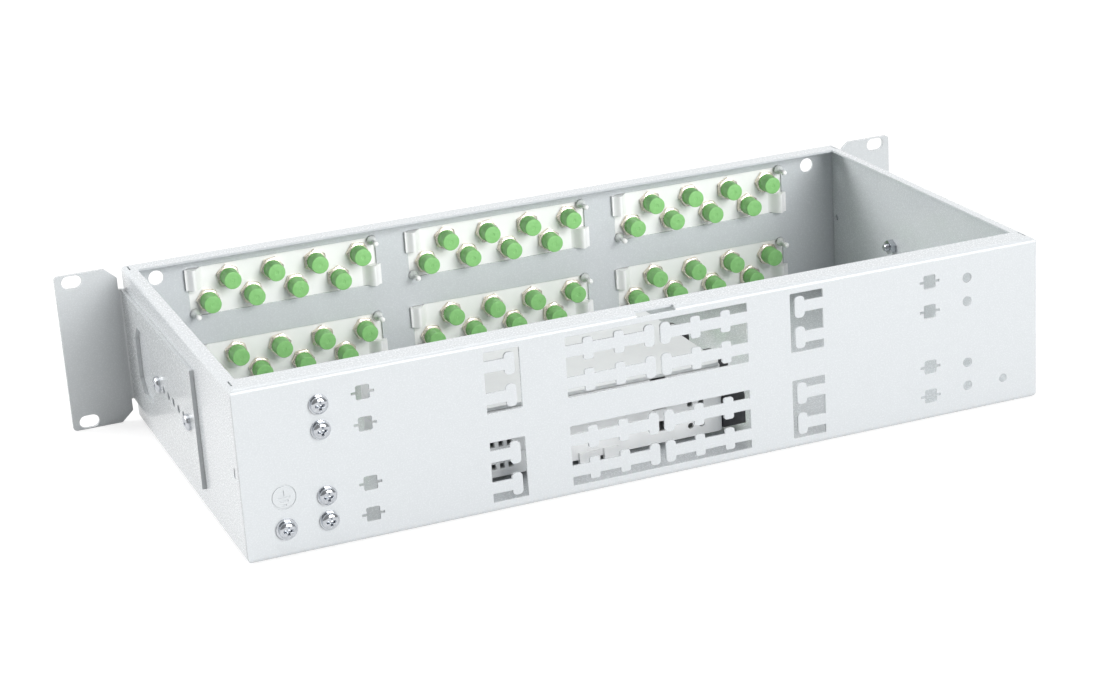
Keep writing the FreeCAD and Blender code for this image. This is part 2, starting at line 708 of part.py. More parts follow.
def make_rivet():
    """Push rivet: head on the plate's front at local Z 0, barbs and ball end behind the wall."""
    barb = PLATE_T + SHEET_T + LUG_CLEAR
    neck = barb + RIVET_BARB_L
    ball = neck + RIVET_TAIL - RIVET_BARB_L
    profile = [(0, -RIVET_HEAD_T), (RIVET_HEAD_R, -RIVET_HEAD_T), (RIVET_HEAD_R, 0),
               (RIVET_SHANK_R, 0), (RIVET_SHANK_R, barb), (RIVET_BARB_R, barb),
               (RIVET_BARB_R, barb + RIVET_BARB_L / 3), (RIVET_NECK_R, neck),
               (RIVET_NECK_R, ball), (RIVET_BALL_R, ball), (RIVET_BALL_R, ball + 2 * RIVET_BALL_R),
               (0, ball + 2 * RIVET_BALL_R)]
    radii = [0, RIVET_HEAD_EDGE, 0, 0, 0, 0, 0, 0, 0, RIVET_BALL_EDGE,
             RIVET_TIP_SHARE * RIVET_BALL_R, 0]
    return turned(profile, radii)


def save_plates():
    halves, sleeve, cap, rivet = make_adapter(), make_sleeve(), make_cap(), make_rivet()
    nut = hex_nut(NUT_AF, NUT_T, BARREL_R + BARREL_CLEAR)
    rivets = []
    for name, x, z in plate_places():
        save("adapter_plate_" + name, make_plate(x, z))
        spots = [(x + dx, z + dz) for dx, dz in adapter_offsets()]
        rear_seat = FRONT + NUT_T + CAP_GAP
        front_seat = PLATE_FACE - FLANGE_T - CAP_GAP
        save_group("adapters_" + name,
                   [placed(half, (u, PLATE_FACE, w), (0, 1, 0)) for u, w in spots for half in halves])
        save_group("sleeves_" + name,
                   [placed(sleeve, (u, PLATE_FACE, w), (0, 1, 0)) for u, w in spots])
        save_group("adapter_nuts_" + name,
                   [placed(turn_about_z(nut, turn), (u, FRONT, w), (0, 1, 0))
                    for (u, w), turn in zip(spots, NUT_TURN_DEGREES)])
        save_group("rear_caps_" + name,
                   [placed(cap, (u, rear_seat, w), (0, 1, 0)) for u, w in spots])
        save_group("front_caps_" + name,
                   [placed(cap, (u, front_seat, w), (0, -1, 0)) for u, w in spots])
        rivets += [placed(rivet, (x + dx, PLATE_FACE, z + dz), (0, 1, 0))
                   for dx, dz in rivet_offsets()]
    save_group("push_rivets", rivets)


# Cable clamps and the earth point on the rear wall

def clamp_bracket(z):
    """Angle behind the wall: upright base under the screws, flat leg into the case."""
    back = REAR_IN - CLAMP_T
    foot = z - CLAMP_H / 2
    shape = [(REAR_IN, foot), (REAR_IN, foot + CLAMP_H), (back, foot + CLAMP_H),
             (back, foot + CLAMP_T), (back - CLAMP_LEG, foot + CLAMP_T), (back - CLAMP_LEG, foot)]
    radii = [CLAMP_BEND_R, 0, 0, CLAMP_BEND_R - CLAMP_T, 0, 0]
    angle = prism(shape, radii, "yz", CLAMP_X - CLAMP_W / 2, CLAMP_X + CLAMP_W / 2)
    holes = [rod((CLAMP_X, back - OVER, z + dz), (0, 1, 0), SCREW_R + SCREW_CLEAR,
                 CLAMP_T + 2 * OVER) for dz in (CLAMP_DZ, -CLAMP_DZ)]
    holes.append(rod((CLAMP_X, bolt_y(), foot - OVER), (0, 0, 1), SCREW_R + SCREW_CLEAR,
                     CLAMP_T + 2 * OVER))
    return angle.cut(holes)


def bolt_y():
    return REAR_IN - CLAMP_T - CLAMP_LEG + CLAMP_BOLT_FROM_END


def clamp_bar(z):
    seat = z - CLAMP_H / 2 + CLAMP_T
    bar = box(CLAMP_X - CLAMP_BAR_W / 2, CLAMP_X + CLAMP_BAR_W / 2,
              bolt_y() - CLAMP_BAR_L / 2, bolt_y() + CLAMP_BAR_L / 2, seat, seat + CLAMP_BAR_T)
    return bar.cut(rod((CLAMP_X, bolt_y(), seat - OVER), (0, 0, 1), SCREW_R + SCREW_CLEAR,
                       CLAMP_BAR_T + 2 * OVER))


def save_rear_fittings():
    screw, bolt = pan_screw(CLAMP_SCREW_L), pan_screw(CLAMP_BOLT_L)
    ring = washer(WASHER_R, WASHER_T)
    spots = [(CLAMP_X, z + dz) for z in ROWS for dz in (CLAMP_DZ, -CLAMP_DZ)]
    save_group("clamp_screws",
               [placed(screw, (x, REAR + WASHER_T, z), (0, 1, 0)) for x, z in spots])
    save_group("clamp_washers", [placed(ring, (x, REAR, z), (0, 1, 0)) for x, z in spots])
    for name, z in zip(("upper", "lower"), ROWS):
        save("clamp_bracket_" + name, clamp_bracket(z))
    save_group("clamp_bars", [clamp_bar(z) for z in ROWS])
    seats = [z - CLAMP_H / 2 + CLAMP_T + CLAMP_BAR_T for z in ROWS]
    save_group("clamp_bolts", [placed(bolt, (CLAMP_X, bolt_y(), z), (0, 0, 1)) for z in seats])
    save("earth_screw", placed(pan_screw(EARTH_SCREW_L),
                               (EARTH_X, REAR + EARTH_WASHER_T, EARTH_Z), (0, 1, 0)))
    save("earth_washer", placed(washer(EARTH_WASHER_R, EARTH_WASHER_T),
                                (EARTH_X, REAR, EARTH_Z), (0, 1, 0)))
    save("earth_nut", placed(hex_nut(HEX_AF, HEX_T, SCREW_R + SCREW_CLEAR),
                             (EARTH_X, REAR_IN - HEX_T, EARTH_Z), (0, 1, 0)))


# Splice trays

def hinge_axis(level):
    """X and Z of the axis that carries the tray of this level."""
    return TRAY_X0 - HINGE_OUT, tray_z(level) + HINGE_UP


def tray_shell(z):
    radii = [TRAY_R_HINGE, TRAY_R_FREE, TRAY_R_FREE, TRAY_R_HINGE]
    outer = prism(rect(TRAY_X0, TRAY_X1, TRAY_Y0, TRAY_Y1), radii, "xy", z, z + TRAY_H)
    inner = prism(rect(TRAY_X0 + TRAY_T, TRAY_X1 - TRAY_T, TRAY_Y0 + TRAY_T, TRAY_Y1 - TRAY_T),
                  [r - TRAY_T for r in radii], "xy", z + TRAY_T, z + TRAY_H + OVER)
    return outer.cut(inner)


def tray_walls():
    """The two long walls: outer face and the way in."""
    return ((TRAY_Y0, 1), (TRAY_Y1, -1))


def tie_slots(z):
    """Raised pads on the long walls, and the row of tie slots through each."""
    half = (TIE_SLOTS - 1) / 2 * TIE_SLOT_PITCH + TIE_SLOT_W / 2 + TIE_PAD_EDGE
    low, high = z + TIE_SLOT_Z - TIE_SLOT_H / 2, z + TIE_SLOT_Z + TIE_SLOT_H / 2
    pads, slots = [], []
    for edge, inward in tray_walls():
        pads.append(box(TIE_SLOT_X - half, TIE_SLOT_X + half, edge - inward * TIE_PAD_OUT,
                        edge + inward * TRAY_T / 2, low - TIE_PAD_EDGE, high + TIE_PAD_EDGE))
        for i in range(TIE_SLOTS):
            x = TIE_SLOT_X + (i - (TIE_SLOTS - 1) / 2) * TIE_SLOT_PITCH
            slots.append(box(x - TIE_SLOT_W / 2, x + TIE_SLOT_W / 2, edge - inward * 2 * TRAY_T,
                             edge + inward * 2 * TRAY_T, low, high))
    return pads, slots


def tray_supports():
    """Feet on the long walls and bosses under the hubs, which carry the stack."""
    parts = []
    for edge, inward in tray_walls():
        for x0, x1 in FOOT_X:
            parts.append(box(x0, x1, edge - inward * FOOT_OUT, edge + inward * TRAY_T, SHEET_T,
                             TRAY_Z0 + FOOT_RISE))
    for x in HUB_X:
        parts.append(rod((x, TRAY_MID_Y, SHEET_T), (0, 0, 1), BOSS_R, TRAY_STAND + TRAY_T / 2))
    return parts


def make_tray(level):
    """Open tray with guide hubs, a splice comb, holding tabs and fibre entry notches."""
    z = tray_z(level)
    top = z + TRAY_H
    floor = z + TRAY_T
    pads, cuts = tie_slots(z)
    adds = [tray_shell(z)] + pads
    for x in HUB_X:
        hub = rod((x, TRAY_MID_Y, floor - TRAY_T / 2), (0, 0, 1), HUB_R, HUB_H + TRAY_T / 2)
        adds.append(hub.cut(rod((x, TRAY_MID_Y, floor - TRAY_T), (0, 0, 1), HUB_R - HUB_T,
                                HUB_H + 2 * TRAY_T)))
    for i in range(COMB_RIBS):
        y = TRAY_MID_Y + (i - (COMB_RIBS - 1) / 2) * COMB_PITCH
        adds.append(box(COMB_X0, COMB_X1, y - COMB_T / 2, y + COMB_T / 2,
                        floor - TRAY_T / 2, floor + COMB_H))
    for x in TAB_X:
        for edge, inward in tray_walls():
            adds.append(box(x - TAB_W / 2, x + TAB_W / 2, edge + inward * TRAY_T / 2,
                            edge + inward * (TRAY_T + TAB_REACH), top - COVER_LIP_H - TAB_T,
                            top - COVER_LIP_H))
    for edge, _ in tray_walls():
        low, high = edge - 2 * TRAY_T, edge + 2 * TRAY_T
        for x in ENTRY_NOTCH_X:
            cuts.append(prism(rect(x - ENTRY_NOTCH_W / 2, x + ENTRY_NOTCH_W / 2,
                                   top - ENTRY_NOTCH_DEPTH, top + 2 * OVER),
                              [ENTRY_NOTCH_R, ENTRY_NOTCH_R, 0, 0], "xz", low, high))
        for x in PEG_HOLE_X:
            cuts.append(rod((x, low, z + PEG_HOLE_Z), (0, 1, 0), PEG_HOLE_D / 2, high - low))
    if level == 0:
        adds += tray_supports()
        for x in HUB_X:
            cuts.append(rod((x, TRAY_MID_Y, 0), (0, 0, 1), STUD_R + SCREW_CLEAR, floor + OVER))
    else:
        ax, az = hinge_axis(level)
        for y in HINGE_Y[level - 1]:
            low, high = y - ARM_W / 2, y + ARM_W / 2
            adds.append(rod((ax, low, az), (0, 1, 0), ARM_R, ARM_W))
            adds.append(box(ax, TRAY_X0 + TRAY_T / 2, low, high, az - ARM_R, az + ARM_R))
            cuts.append(rod((ax, low - OVER, az), (0, 1, 0), HINGE_PIN_R + HINGE_CLEAR,
                            ARM_W + 2 * OVER))
    return union(adds).cut(cuts)


def hinge_clip(level, y):
    """Fork on the end of one tray that carries the arm of the next on its own pin."""
    ax, az = hinge_axis(level)
    base = tray_z(level - 1) + CLIP_FLOOR
    inner = ARM_W / 2 + HINGE_CLEAR
    outer = inner + CHEEK_T
    saddle = az - ARM_R - CLIP_ARM_CLEAR
    pieces = [box(ax - ARM_R, TRAY_X0, y - outer, y + outer, base, saddle),
              rod((ax, y - outer, az), (0, 1, 0), HINGE_PIN_R, 2 * outer)]
    for low, high in ((y - outer, y - inner), (y + inner, y + outer)):
        pieces.append(prism(rect(ax - ARM_R, TRAY_X0 - CHEEK_GAP, base, az + ARM_R),
                            [0, 0, ARM_R, ARM_R], "xz", low, high))
    return union(pieces)


def make_cover(z):
    """Flat lid with lips that drop just inside the tray wall."""
    radii = [TRAY_R_HINGE, TRAY_R_FREE, TRAY_R_FREE, TRAY_R_HINGE]
    inset = COVER_INSET
    sheet = prism(rect(TRAY_X0 + inset, TRAY_X1 - inset, TRAY_Y0 + inset, TRAY_Y1 - inset),
                  radii, "xy", z, z + COVER_T)
    pieces = [sheet]
    lip_low = z - TRAY_GAP - COVER_LIP_H + COVER_LIP_CLEAR
    for x in TAB_X:
        for edge, inward in tray_walls():
            near = edge + inward * (TRAY_T + COVER_LIP_CLEAR)
            pieces.append(box(x - COVER_LIP_L / 2, x + COVER_LIP_L / 2, near,
                              near + inward * COVER_LIP_T, lip_low, z + COVER_T / 2))
    return union(pieces)


def save_trays():
    for level, name in enumerate(("base", "middle", "top")):
        save("tray_" + name, make_tray(level))
    for level, name in ((1, "lower"), (2, "upper")):
        save_group("hinge_clips_" + name, [hinge_clip(level, y) for y in HINGE_Y[level - 1]])
    save("tray_cover", make_cover(tray_z(TRAY_COUNT)))
    nut = hex_nut(HEX_AF, HEX_T, STUD_R + SCREW_CLEAR)
    seat = TRAY_Z0 + TRAY_T
    save_group("tray_studs", [rod((x, TRAY_MID_Y, 0), (0, 0, 1), STUD_R, seat + HEX_T + STUD_OVER)
                              for x in HUB_X])
    save_group("tray_nuts", [placed(nut, (x, TRAY_MID_Y, seat), (0, 0, 1)) for x in HUB_X])


save("case", make_case())
save("ear_right", make_ear(1))
save("ear_left", make_ear(-1))
screws, nuts = ear_fasteners()
save_group("ear_screws", screws)
save_group("ear_nuts", nuts)
save_plates()
save_rear_fittings()
save_trays()
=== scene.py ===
"""Looks of the fibre patch panel: finishes, fine detail, studio and camera. Lengths are in metres."""

import json
import math

import bpy
import numpy as np
from mathutils import Matrix, Vector


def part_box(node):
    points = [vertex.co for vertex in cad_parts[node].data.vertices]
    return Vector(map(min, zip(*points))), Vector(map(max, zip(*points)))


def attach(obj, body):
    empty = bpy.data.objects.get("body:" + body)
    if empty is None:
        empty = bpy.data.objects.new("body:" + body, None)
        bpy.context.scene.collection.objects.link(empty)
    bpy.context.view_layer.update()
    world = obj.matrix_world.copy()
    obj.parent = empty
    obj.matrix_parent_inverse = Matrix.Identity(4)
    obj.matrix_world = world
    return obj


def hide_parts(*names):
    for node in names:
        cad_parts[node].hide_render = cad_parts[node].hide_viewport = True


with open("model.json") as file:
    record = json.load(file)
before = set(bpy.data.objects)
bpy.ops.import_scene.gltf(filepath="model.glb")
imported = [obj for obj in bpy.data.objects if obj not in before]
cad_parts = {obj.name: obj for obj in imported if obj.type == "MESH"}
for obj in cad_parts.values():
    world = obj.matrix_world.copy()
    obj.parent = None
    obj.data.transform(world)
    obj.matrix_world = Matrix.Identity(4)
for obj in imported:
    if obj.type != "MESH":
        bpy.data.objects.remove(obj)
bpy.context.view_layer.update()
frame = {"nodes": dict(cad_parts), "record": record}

MM = 0.001
PLATES = [row + "_" + column for row in ("top", "bottom") for column in ("left", "middle", "right")]

# Camera, as fitted to the photograph
PHOTO_WIDTH = 1094
FOCAL_PIXELS = 2533.5
SENSOR_MM = 36.0
CAMERA_AZIMUTH = 159.34
CAMERA_ELEVATION = 19.49
CAMERA_ROLL = -3.77
CAMERA_DISTANCE = 1.2896
CAMERA_TARGET = Vector((0.0154, 0.0, 0.0343))

# Studio, with lengths in metres and the glow and fill as shares of white
FLOOR_HALF = 8.0
FLOOR_DROP = 0.2 * MM
FLOOR_BOUNCE = 0.62
FLOOR_SHADE = 0.30
FLOOR_GLOW = 0.76
FLOOR_GLOW_FAR = 1.05
FLOOR_NEAR = 0.5
FLOOR_FAR = 1.6
BACKDROP_FULL = -0.4
BACKDROP_END = 0.2
ROOM = 0.35
WORLD_FILL = 0.6
LAMPS = {
    "lamp_front": {"at": (-1.4, 4.1, 1.7), "size": 2.6, "watts": 206.0},
    "lamp_left": {"at": (3.3, -2.0, 1.9), "size": 2.0, "watts": 128.0},
    "lamp_top": {"at": (0.0, 0.0, 3.6), "size": 2.6, "watts": 50.0},
}

# Dust caps
CAP_BODY_R = 4.7 * MM
CAP_BORE_R = 4.15 * MM
CAP_RIM_T = 1.2 * MM
CAP_END_T = 0.9 * MM
CAP_EDGE_R = 0.5 * MM
CAP_RIM_EDGE = 0.25 * MM
CAP_GATE_R = 1.1 * MM
CAP_GATE_DEPTH = 0.18 * MM
CAP_SEGMENTS = 48

# Hexagon nuts of the adapters
NUT_BORE_R = 4.1 * MM
NUT_BORE_CHAMFER = 0.3 * MM
NUT_CHAMFER_DEGREES = 30.0
NUT_CHAMFER_START = 0.97
NUT_SEGMENTS = 72

# Push rivets
RIVET_PIN_L = 3.3 * MM

# Cross-recess screws
SCREW_R = 2.0 * MM
SCREW_HEAD_T = 2.6 * MM
SCREW_HEAD_SIDE = 1.0 * MM
SCREW_TIP = 0.5 * MM
THREAD_PITCH = 0.7 * MM
THREAD_DEPTH = 0.38 * MM
THREAD_STEPS = 6
RECESS_W = 1.15 * MM
RECESS_L = 4.6 * MM
RECESS_DEPTH = 1.7 * MM
RECESS_WALL = 0.14 * MM
RECESS_RAMP = 0.9 * MM
HEAD_RINGS = 30
HEAD_DOME_POWER = 3
SCREW_SEGMENTS = 96

# Surfaces: the useful middle of a noise, and how finely edges are eased and meshes shaded
NOISE_LOW = 0.3
NOISE_HIGH = 0.7
GLOSS_PATCH_SHARE = 1 / 3
BEVEL_SAMPLES = 6
SHARP_DEGREES = 32
ARC_STEPS = 5
POINT_DIGITS = 7
NO_RADIUS = 1e-9


# Shader node helpers

def add(tree, kind, inputs=None, **settings):
    """New shader node. A socket given as an input is linked, and any other value is set."""
    made = tree.nodes.new(kind)
    for name, value in settings.items():
        setattr(made, name, value)
    for name, value in (inputs or {}).items():
        if isinstance(value, bpy.types.NodeSocket):
            tree.links.new(value, made.inputs[name])
        else:
            made.inputs[name].default_value = value
    return made


def noise(tree, size_mm, detail=2.0, stretch=None):
    """Noise over the object's own coordinates, with features of about this size."""
    place = add(tree, "ShaderNodeTexCoord").outputs["Object"]
    if stretch:
        place = add(tree, "ShaderNodeMapping", {"Vector": place, "Scale": stretch}).outputs[0]
    return add(tree, "ShaderNodeTexNoise",
               {"Vector": place, "Scale": 1.0 / (size_mm * MM), "Detail": detail}).outputs[0]


def spread(tree, value, low, high):
    """Noise stretched over its useful middle and mapped to a span."""
    return add(tree, "ShaderNodeMapRange",
               {"Value": value, "From Min": NOISE_LOW, "From Max": NOISE_HIGH,
                "To Min": low, "To Max": high}).outputs[0]


def ramp(tree, value, dark, light):
    """Colour between a dark and a light one, over the useful middle of a noise."""
    made = add(tree, "ShaderNodeValToRGB", {"Fac": value})
    made.color_ramp.elements[0].position = NOISE_LOW
    made.color_ramp.elements[1].position = NOISE_HIGH
    made.color_ramp.elements[0].color = (*dark, 1.0)
    made.color_ramp.elements[1].color = (*light, 1.0)
    return made.outputs[0]


def bumps(tree, layers, edge_mm):
    """Edges eased by a small radius, under stacked bump layers of a feature size and a height."""
    normal = add(tree, "ShaderNodeBevel", {"Radius": edge_mm * MM}, samples=BEVEL_SAMPLES).outputs[0]
    for size_mm, height_mm, stretch in layers:
        normal = add(tree, "ShaderNodeBump", {"Height": noise(tree, size_mm, 2.0, stretch),
                                              "Distance": height_mm * MM, "Normal": normal}).outputs[0]
    return normal


def finish(name, dark, light, patch_mm, rough, layers, edge_mm=0.15, tip=None, **constants):
    """Material with patchy colour and gloss, a textured surface and eased edges.

    A tip is a place along Y, past which the colour is another pair of dark and light.
    """
    made = bpy.data.materials.new(name)
    made.use_nodes = True
    tree = made.node_tree
    shader = tree.nodes["Principled BSDF"]
    patches = noise(tree, patch_mm, 3.0)
    colour = ramp(tree, patches, dark, light)
    if tip:
        start, tip_dark, tip_light = tip
        place = add(tree, "ShaderNodeTexCoord").outputs["Object"]
        along = add(tree, "ShaderNodeSeparateXYZ", {0: place}).outputs["Y"]
        past = add(tree, "ShaderNodeMath", {0: along, 1: start}, operation="GREATER_THAN").outputs[0]
        tip_colour = ramp(tree, patches, tip_dark, tip_light)
        colour = add(tree, "ShaderNodeMixRGB",
                     {"Fac": past, "Color1": colour, "Color2": tip_colour}).outputs[0]
    tree.links.new(colour, shader.inputs["Base Color"])
    gloss = spread(tree, noise(tree, patch_mm * GLOSS_PATCH_SHARE), *rough)
    tree.links.new(gloss, shader.inputs["Roughness"])
    tree.links.new(bumps(tree, layers, edge_mm), shader.inputs["Normal"])
    for socket, value in constants.items():
        shader.inputs[socket.replace("_", " ")].default_value = value
    return made


# Finishes, one to each material slot of the record

EVEN = None
DRAWN = (1.0, 1.0, 0.12)


def rivet_pin():
    """Place where the white pin comes out of the grey body of the push rivets, and its colours."""
    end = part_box("push_rivets")[1][1]
    return end - RIVET_PIN_L, (0.90, 0.90, 0.89), (0.94, 0.94, 0.93)


def make_finishes():
    paint = [(1.5, 0.012, EVEN), (0.5, 0.002, EVEN)]
    moulded = [(0.6, 0.003, EVEN), (6.0, 0.012, EVEN)]
    plated = [(0.35, 0.0015, EVEN), (1.4, 0.004, EVEN)]
    return {
        "case_paint": finish("case_powder_coat", (0.592, 0.618, 0.636), (0.604, 0.630, 0.648), 2.2,
                             (0.24, 0.29), paint, 0.3, Coat_Weight=0.35, Coat_Roughness=0.07),
        # The ears carry the same powder coat as the case; this colour is set darker than the case's to paint
        # the shade that falls on the ear flanges.
        "ear_paint": finish("ear_coat_painted_shade", (0.545, 0.570, 0.582), (0.557, 0.582, 0.594), 2.2,
                            (0.24, 0.29), paint, 0.3, Coat_Weight=0.35, Coat_Roughness=0.07),
        "plate_white": finish("plate_moulding", (0.89, 0.895, 0.89), (0.925, 0.925, 0.92), 9.0,
                              (0.32, 0.42), moulded),
        "adapter_nickel": finish("adapter_plating", (0.68, 0.66, 0.60), (0.76, 0.74, 0.69), 3.0,
                                 (0.20, 0.30), plated, Metallic=1.0),
        "nut_nickel": finish("nut_plating", (0.72, 0.66, 0.55), (0.81, 0.76, 0.66), 2.5,
                             (0.24, 0.34), plated, 0.08, Metallic=1.0),
        "sleeve_ceramic": finish("sleeve_ceramic", (0.90, 0.90, 0.87), (0.94, 0.94, 0.92), 2.0,
                                 (0.12, 0.18), plated),
        "cap_green": finish("cap_green_plastic", (0.225, 0.535, 0.17), (0.265, 0.59, 0.205), 2.4,
                            (0.36, 0.48), [(0.3, 0.002, EVEN), (2.5, 0.010, EVEN)]),
        "rivet_nylon": finish("rivet_nylon", (0.62, 0.64, 0.63), (0.74, 0.76, 0.75), 4.0,
                              (0.22, 0.32), moulded, tip=rivet_pin()),
        # The screw zinc is set darker than the bracket's zinc to paint dark reflections on the screw heads;
        # the plating itself is as light as the bracket's.
        "zinc": finish("zinc_painted_dark_reflection", (0.45, 0.47, 0.50), (0.59, 0.61, 0.64), 1.6,
                       (0.10, 0.18), plated, 0.06, Metallic=1.0),
        "bracket_steel": finish("bracket_zinc", (0.60, 0.61, 0.63), (0.70, 0.71, 0.73), 3.0,
                                (0.28, 0.40), [(0.4, 0.003, DRAWN)], Metallic=1.0),
        "tray_white": finish("tray_moulding", (0.86, 0.865, 0.865), (0.895, 0.90, 0.90), 12.0,
                             (0.42, 0.54), moulded),
        "cover_frost": finish("cover_frosted", (0.615, 0.635, 0.635), (0.64, 0.66, 0.66), 10.0,
                              (0.64, 0.76), moulded),
        "hinge_black": finish("hinge_moulding", (0.036, 0.036, 0.039), (0.055, 0.055, 0.06), 3.0,
                              (0.40, 0.52), moulded),
    }


def slot_of(node):
    return next(row["material_slot"] for row in frame["record"]["subparts"] if row["node"] == node)


def dress_nodes(finishes):
    """Gives each CAD node the finish of its slot."""
    for row in frame["record"]["subparts"]:
        mesh = frame["nodes"][row["node"]].data
        mesh.materials.clear()
        mesh.materials.append(finishes[row["material_slot"]])


# Mesh helpers

def solids(node):
    """Corner points of each separate solid of a CAD node."""
    mesh = frame["nodes"][node].data
    points = np.empty(len(mesh.vertices) * 3)
    mesh.vertices.foreach_get("co", points)
    points = points.reshape(-1, 3)
    _, same = np.unique(np.round(points, POINT_DIGITS), axis=0, return_inverse=True)
    same = same.ravel()
    group = np.arange(same.max() + 1)
    edges = np.empty(len(mesh.edges) * 2, int)
    mesh.edges.foreach_get("vertices", edges)
    edges = same[edges].reshape(-1, 2)
    while True:
        lowest = np.minimum(group[edges[:, 0]], group[edges[:, 1]])
        merged = group.copy()
        np.minimum.at(merged, edges[:, 0], lowest)
        np.minimum.at(merged, edges[:, 1], lowest)
        if (merged == group).all():
            break
        group = merged
    return [points[group[same] == root] for root in np.unique(group)]


def rounded(corners, radii):
    """Path through corners of radius and height, with arcs at the inner corners that have a radius."""
    path = []
    for i, (corner, radius) in enumerate(zip(corners, radii)):
        corner = Vector(corner)
        if radius == 0:
            path.append(tuple(corner))
            continue
        before = (Vector(corners[i - 1]) - corner).normalized()
        after = (Vector(corners[i + 1]) - corner).normalized()
        half = before.angle(after) / 2
        centre = corner + (before + after).normalized() * radius / math.sin(half)
        start = corner + before * radius / math.tan(half) - centre
        end = corner + after * radius / math.tan(half) - centre
        turn = start.angle_signed(end)
        for k in range(ARC_STEPS + 1):
            a = -turn * k / ARC_STEPS
            spot = Matrix.Rotation(a, 2) @ start
            path.append(tuple(centre + spot))
    return path


def spun(rings, segments, closed=False):
    """Skin over rings about local Z. A ring is a radius and height pair, or gives one for an angle."""
    angles = np.arange(segments) * 2 * math.pi / segments
    points, rows, faces = [], [], []
    for ring in rings:
        pairs = [ring(a) for a in angles] if callable(ring) else [ring] * segments
        single = max(r for r, _ in pairs) < NO_RADIUS
        rows.append([len(points)] * segments if single else list(range(len(points), len(points) + segments)))
        for a, (r, h) in zip(angles[:1] if single else angles, pairs):
            points.append((r * math.cos(a), r * math.sin(a), h))
    for low, high in zip(rows, rows[1:] + rows[:1] if closed else rows[1:]):
        for i in range(segments):
            j = (i + 1) % segments
            face = list(dict.fromkeys((low[i], low[j], high[j], high[i])))
            if len(face) > 2:
                faces.append(face)
    return np.array(points), faces


def standing(axis, at):
    """Turn and shift that put local Z on an axis and local zero at a point."""
    return Matrix.Translation(Vector(at)) @ Vector(axis).to_track_quat("Z", "Y").to_matrix().to_4x4()


def piece(name, parts, node, finishes):
    """One object from skins with their places, riding in the stead of a CAD node."""
    points, faces = [], []
    for (skin, loops), place in parts:
        place = np.array(place)
        faces += [[v + len(points) for v in loop] for loop in loops]
        points += (skin @ place[:3, :3].T + place[:3, 3]).tolist()
    mesh = bpy.data.meshes.new(name)
    mesh.from_pydata(points, [], faces)
    mesh.validate()
    mesh.shade_smooth()
    mesh.set_sharp_from_angle(angle=math.radians(SHARP_DEGREES))
    mesh.materials.append(finishes[slot_of(node)])
    made = bpy.data.objects.new(name, mesh)
    bpy.context.scene.collection.objects.link(made)
    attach(made, "panel")
    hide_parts(node)
    return made


# Dust caps

def cap_skin(rim_r, length):
    """Moulded cap: rim at the open end, rounded edge, and a gate dimple in the closed face."""
    dip = length - CAP_GATE_DEPTH
    corners = [(CAP_BORE_R, length - CAP_END_T), (CAP_BORE_R, 0), (rim_r, 0), (rim_r, CAP_RIM_T),
               (CAP_BODY_R, CAP_RIM_T), (CAP_BODY_R, length), (CAP_GATE_R, length),
               (CAP_GATE_R - CAP_GATE_DEPTH, dip), (0, dip)]
    edges = [0, CAP_RIM_EDGE, CAP_RIM_EDGE, CAP_RIM_EDGE, CAP_RIM_EDGE / 2, CAP_EDGE_R, 0, 0, 0]
    return spun(rounded(corners, edges), CAP_SEGMENTS)


def make_caps(finishes):
    for side, way in (("rear", 1), ("front", -1)):
        for plate in PLATES:
            node = side + "_caps_" + plate
            parts = []
            for points in solids(node):
                low, high = points.min(axis=0), points.max(axis=0)
                middle = (low + high) / 2
                open_end = low[1] if way > 0 else high[1]
                skin = cap_skin((high[0] - low[0]) / 2, high[1] - low[1])
                parts.append((skin, standing((0, way, 0), (middle[0], open_end, middle[2]))))
            piece("dust_" + node, parts, node, finishes)


# Adapter nuts

def nut_skin(across, thick, turn):
    """Hexagon nut with chamfered corners on both faces and an eased bore."""
    flat = across / 2
    chamfer = flat * NUT_CHAMFER_START
    slope = math.tan(math.radians(NUT_CHAMFER_DEGREES))

    def corner(top):
        def ring(angle):
            off = (angle - turn + math.pi / 6) % (math.pi / 3) - math.pi / 6
            reach = flat / math.cos(off)
            drop = (reach - chamfer) * slope
            return reach, thick - drop if top else drop
        return ring

    ease = NUT_BORE_CHAMFER
    rings = [(NUT_BORE_R, ease), (NUT_BORE_R + ease, 0), (chamfer, 0), corner(False), corner(True),
             (chamfer, thick), (NUT_BORE_R + ease, thick), (NUT_BORE_R, thick - ease)]
    return spun(rings, NUT_SEGMENTS, closed=True)


def make_nuts(finishes):
    for plate in PLATES:
        node = "adapter_nuts_" + plate
        parts = []
        for points in solids(node):
            low, high = points.min(axis=0), points.max(axis=0)
            middle = (low + high) / 2
            reach = points - middle
            far = reach[np.argmax(np.hypot(reach[:, 0], reach[:, 2]))]
            across = math.hypot(far[0], far[2]) * math.sqrt(3)
            place = standing((0, 1, 0), (middle[0], low[1], middle[2]))
            corner = place.inverted().to_3x3() @ Vector(far)
            turn = math.atan2(corner.y, corner.x) + math.pi / 6
            parts.append((nut_skin(across, high[1] - low[1], turn), place))
        piece("hex_" + node, parts, node, finishes)


# Screws

def recess(u, v):
    """Depth of the cross recess at a point of the head, with sloping walls and ends."""
    def arm(a, b):
        return min((RECESS_W / 2 - abs(a)) / RECESS_WALL, (RECESS_L / 2 - abs(b)) / RECESS_RAMP, 1.0)
    return RECESS_DEPTH * max(arm(u, v), arm(v, u), 0.0)


